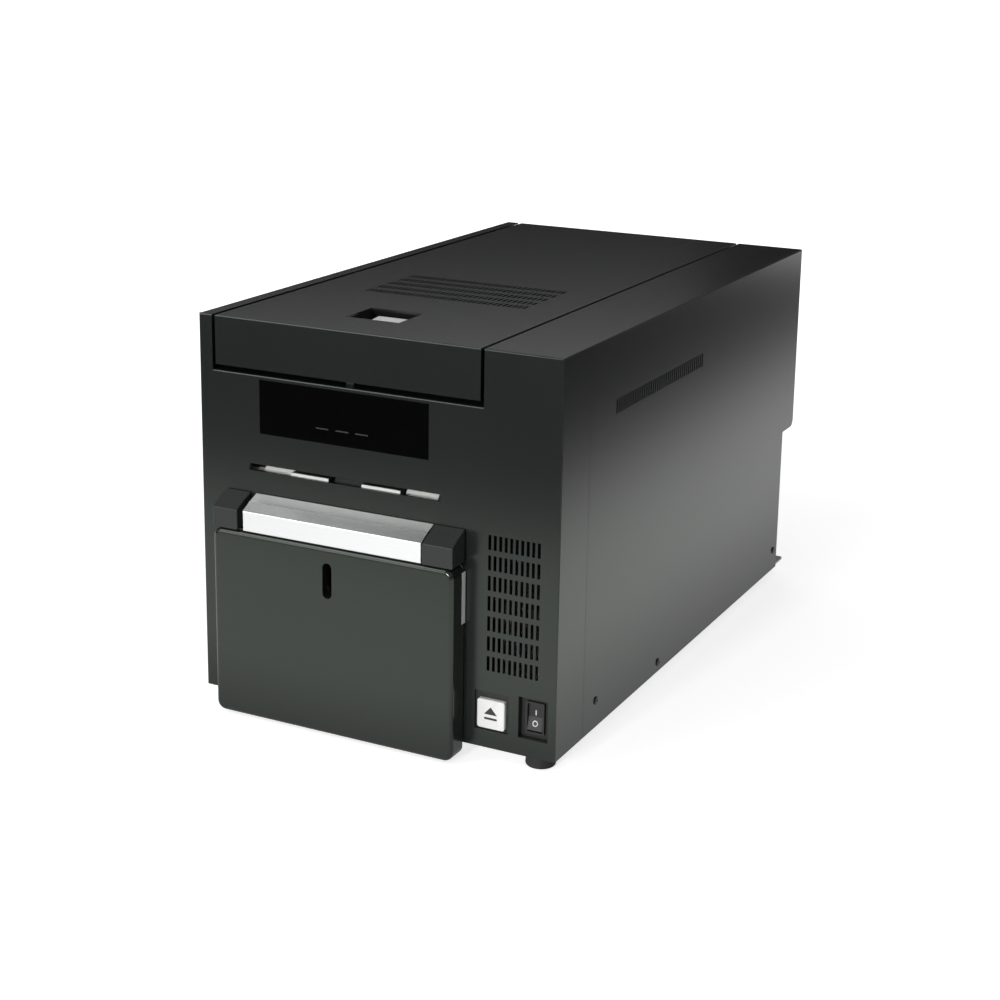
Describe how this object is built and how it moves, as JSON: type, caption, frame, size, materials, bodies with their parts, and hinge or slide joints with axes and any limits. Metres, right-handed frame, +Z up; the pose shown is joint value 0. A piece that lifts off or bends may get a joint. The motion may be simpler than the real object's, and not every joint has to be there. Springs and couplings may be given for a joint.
{
  "type": "id card printer",
  "caption": "Large-format ID card printer: steel cabinet with a rear-hinged top lid and latch, pull-out card hopper with lift, card slot, print engine, eject button and power switch.",
  "frame": {"origin": "centre of the bounding box, on the surface that the feet stand on", "axes": "+X to the machine's right as seen from the front, +Y to the rear, +Z up; the front with the card slot faces -Y"},
  "size_m": [0.288, 0.508, 0.293],
  "materials": {
    "cabinet_paint": "fine satin powder coat, charcoal",
    "lid_paint": "fine satin powder coat, charcoal",
    "hopper_paint": "fine satin powder coat, charcoal",
    "zinc_steel": "zinc-plated sheet",
    "bright_steel": "polished",
    "bright_aluminium": "fine brushed, bright",
    "black_plastic": "moulded, fine grain",
    "dark_plastic": "moulded, fine grain",
    "gloss_black": "gloss",
    "white_plastic": "moulded, slight gloss",
    "nylon": "natural nylon",
    "soft_rubber": "matt",
    "circuit_board": "solder mask",
    "ribbon_film": "glossy film",
    "belt_rubber": "matt"
  },
  "bodies": {
    "cabinet": {"base_pan": "zinc_steel", "front_fascia": "cabinet_paint", "right_cover": "cabinet_paint", "left_cover": "cabinet_paint", "rear_panel": "cabinet_paint", "partition_wall": "zinc_steel", "frame_left": "zinc_steel", "frame_right": "zinc_steel", "cross_braces": "bright_steel", "bushings": "nylon", "feet": "soft_rubber", "cover_screws": "bright_steel", "display_window": "gloss_black", "exit_guide": "white_plastic", "feed_ramp": "zinc_steel", "transport_motor": "black_plastic", "ribbon_motor": "black_plastic", "drive_belts": "belt_rubber", "ribbon_film": "ribbon_film", "hinge_leaves_rear": "bright_steel", "drawer_rails": "zinc_steel", "button_housing": "black_plastic", "switch_housing": "black_plastic", "power_supply": "zinc_steel", "main_board": "circuit_board", "data_ports": "bright_steel", "power_inlet": "black_plastic", "fan_frame": "black_plastic"},
    "lid": {"lid_cover": "lid_paint", "latch_pocket": "dark_plastic", "hinge_leaves_lid": "bright_steel", "hinge_pins": "bright_steel"},
    "lid_latch": {"latch_arm": "bright_steel", "latch_paddle": "white_plastic"},
    "hopper": {"hopper_door": "hopper_paint", "handle_bar": "bright_aluminium", "handle_caps": "dark_plastic", "door_back_plate": "bright_aluminium", "hopper_tray": "black_plastic", "drawer_slides": "bright_steel", "lift_guides": "bright_steel"},
    "card_lift": {"card_platform": "black_plastic", "lift_motor": "black_plastic"},
    "eject_button": {"push_button": "white_plastic"},
    "power_rocker": {"rocker": "black_plastic"},
    "head": {"print_head": "bright_aluminium", "head_arm": "zinc_steel"},
    "platen": {"platen_roller": "soft_rubber", "platen_gear": "nylon"},
    "pinion": {"motor_pinion": "bright_steel"},
    "feed_drive": {"feed_drive_roller": "soft_rubber"},
    "feed_pinch": {"feed_pinch_roller": "bright_steel"},
    "exit_drive": {"exit_drive_roller": "soft_rubber"},
    "exit_pinch": {"exit_pinch_roller": "white_plastic"},
    "picker": {"pick_roller": "soft_rubber"},
    "supply_spool": {"ribbon_supply": "ribbon_film"},
    "takeup_spool": {"ribbon_takeup": "ribbon_film"},
    "fan": {"fan_rotor": "black_plastic"}
  },
  "joints": [
    {"name": "lid_hinge", "type": "hinge", "parent": "cabinet", "child": "lid", "pos_m": [-0.0245, 0.2512, 0.2685], "axis": [-1, 0, 0], "range_deg": [0, 75]},
    {"name": "latch_pivot", "type": "hinge", "parent": "lid", "child": "lid_latch", "pos_m": [-0.0245, -0.188, 0.2845], "axis": [1, 0, 0], "range_deg": [0, 6], "stiffness_Nm_per_rad": 0.6, "springref_deg": -6.88},
    {"name": "hopper_slide", "type": "slide", "parent": "cabinet", "child": "hopper", "axis": [0, -1, 0], "range_m": [0, 0.105]},
    {"name": "card_lift_slide", "type": "slide", "parent": "hopper", "child": "card_lift", "axis": [0, 0, 1], "range_m": [0, 0.107]},
    {"name": "eject_button_press", "type": "slide", "parent": "cabinet", "child": "eject_button", "axis": [0, 1, 0], "range_m": [0, 0.003], "stiffness_N_per_m": 300, "springref_m": -0.002},
    {"name": "power_rocker_tilt", "type": "hinge", "parent": "cabinet", "child": "power_rocker", "pos_m": [0.126, -0.2271, 0.039], "axis": [1, 0, 0], "range_deg": [0, 14]},
    {"name": "head_lift", "type": "hinge", "parent": "cabinet", "child": "head", "pos_m": [-0.0245, 0.065, 0.225], "axis": [-1, 0, 0], "range_deg": [0, 8]},
    {"name": "platen_spin", "type": "hinge", "parent": "cabinet", "child": "platen", "pos_m": [-0.0245, 0.027, 0.1731], "axis": [1, 0, 0], "continuous": true},
    {"name": "pinion_spin", "type": "hinge", "parent": "cabinet", "child": "pinion", "pos_m": [-0.0245, 0.027, 0.1341], "axis": [1, 0, 0], "continuous": true},
    {"name": "feed_drive_spin", "type": "hinge", "parent": "cabinet", "child": "feed_drive", "pos_m": [-0.0245, -0.06, 0.1771], "axis": [1, 0, 0], "continuous": true},
    {"name": "feed_pinch_spin", "type": "hinge", "parent": "cabinet", "child": "feed_pinch", "pos_m": [-0.0245, -0.06, 0.1919], "axis": [1, 0, 0], "continuous": true},
    {"name": "exit_drive_spin", "type": "hinge", "parent": "cabinet", "child": "exit_drive", "pos_m": [-0.0245, -0.2195, 0.1781], "axis": [1, 0, 0], "continuous": true},
    {"name": "exit_pinch_spin", "type": "hinge", "parent": "cabinet", "child": "exit_pinch", "pos_m": [-0.0245, -0.2195, 0.1929], "axis": [1, 0, 0], "continuous": true},
    {"name": "pick_spin", "type": "hinge", "parent": "cabinet", "child": "picker", "pos_m": [-0.0245, -0.153, 0.1627], "axis": [1, 0, 0], "continuous": true},
    {"name": "takeup_spin", "type": "hinge", "parent": "cabinet", "child": "takeup_spool", "pos_m": [-0.0245, -0.07, 0.232], "axis": [1, 0, 0], "continuous": true},
    {"name": "supply_spin", "type": "hinge", "parent": "cabinet", "child": "supply_spool", "pos_m": [-0.0245, 0.11, 0.232], "axis": [1, 0, 0], "continuous": true},
    {"name": "fan_spin", "type": "hinge", "parent": "cabinet", "child": "fan", "pos_m": [0.115, 0.2418, 0.2], "axis": [0, 1, 0], "continuous": true}
  ],
  "couplings": [
    {"joint": "pinion_spin", "follows": "platen_spin", "ratio": -2.7143},
    {"joint": "feed_drive_spin", "follows": "platen_spin", "ratio": 1.5},
    {"joint": "feed_pinch_spin", "follows": "platen_spin", "ratio": -2},
    {"joint": "exit_drive_spin", "follows": "platen_spin", "ratio": 1.7143},
    {"joint": "exit_pinch_spin", "follows": "platen_spin", "ratio": -1.7143},
    {"joint": "supply_spin", "follows": "takeup_spin", "ratio": -0.78571}
  ]
}
